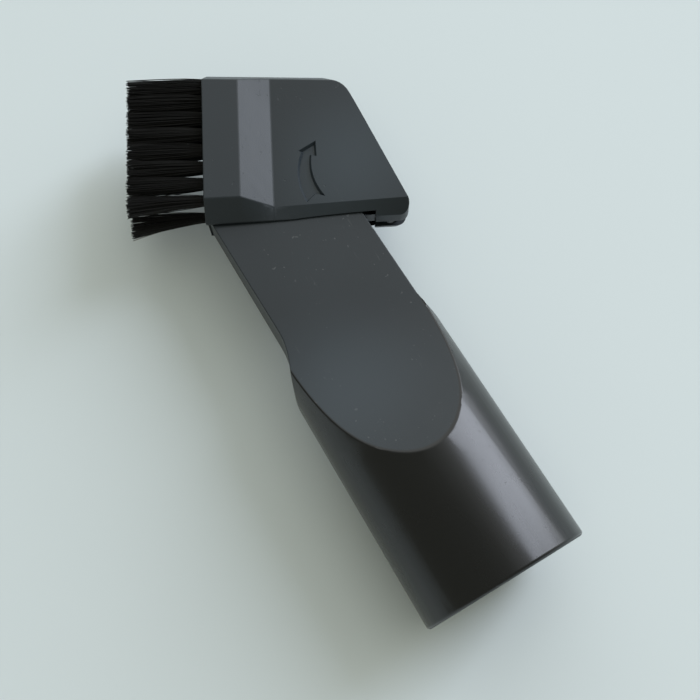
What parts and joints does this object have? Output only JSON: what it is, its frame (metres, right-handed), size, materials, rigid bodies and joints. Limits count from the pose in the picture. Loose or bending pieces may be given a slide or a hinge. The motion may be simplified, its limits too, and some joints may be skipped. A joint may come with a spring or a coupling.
{
  "type": "vacuum brush head",
  "caption": "Vacuum tool with a round push-on socket, a scooped flat nozzle with a slanted mouth, and a hinged brush head that flips aside to bare the nozzle.",
  "frame": {"origin": "centre of the socket mouth", "axes": "+Y along the tube towards the brush, +Z square to the flat faces and up, +X to the right"},
  "size_m": [0.0547, 0.1341, 0.0364],
  "materials": {
    "tube_plastic": "satin moulded black",
    "head_plastic": "fine matte moulded charcoal",
    "bristle": "black nylon filament",
    "anchor_wire": "plain flat wire"
  },
  "bodies": {
    "nozzle": {"nozzle_body": "tube_plastic"},
    "brush": {"brush_head": "head_plastic", "front_tuft_1": "bristle", "front_tuft_2": "bristle", "front_tuft_3": "bristle", "front_tuft_4": "bristle", "front_tuft_5": "bristle", "front_tuft_6": "bristle", "front_tuft_7": "bristle", "front_tuft_8": "bristle", "rear_tuft_1": "bristle", "rear_tuft_2": "bristle", "rear_tuft_3": "bristle", "rear_tuft_4": "bristle", "rear_tuft_5": "bristle", "rear_tuft_6": "bristle", "rear_tuft_7": "bristle", "rear_tuft_8": "bristle", "tuft_anchors": "anchor_wire"}
  },
  "joints": [
    {"name": "head_flip", "type": "hinge", "parent": "nozzle", "child": "brush", "pos_m": [0.022, 0.08015, 0], "axis": [0, 0, -1], "range_deg": [0, 172]}
  ]
}
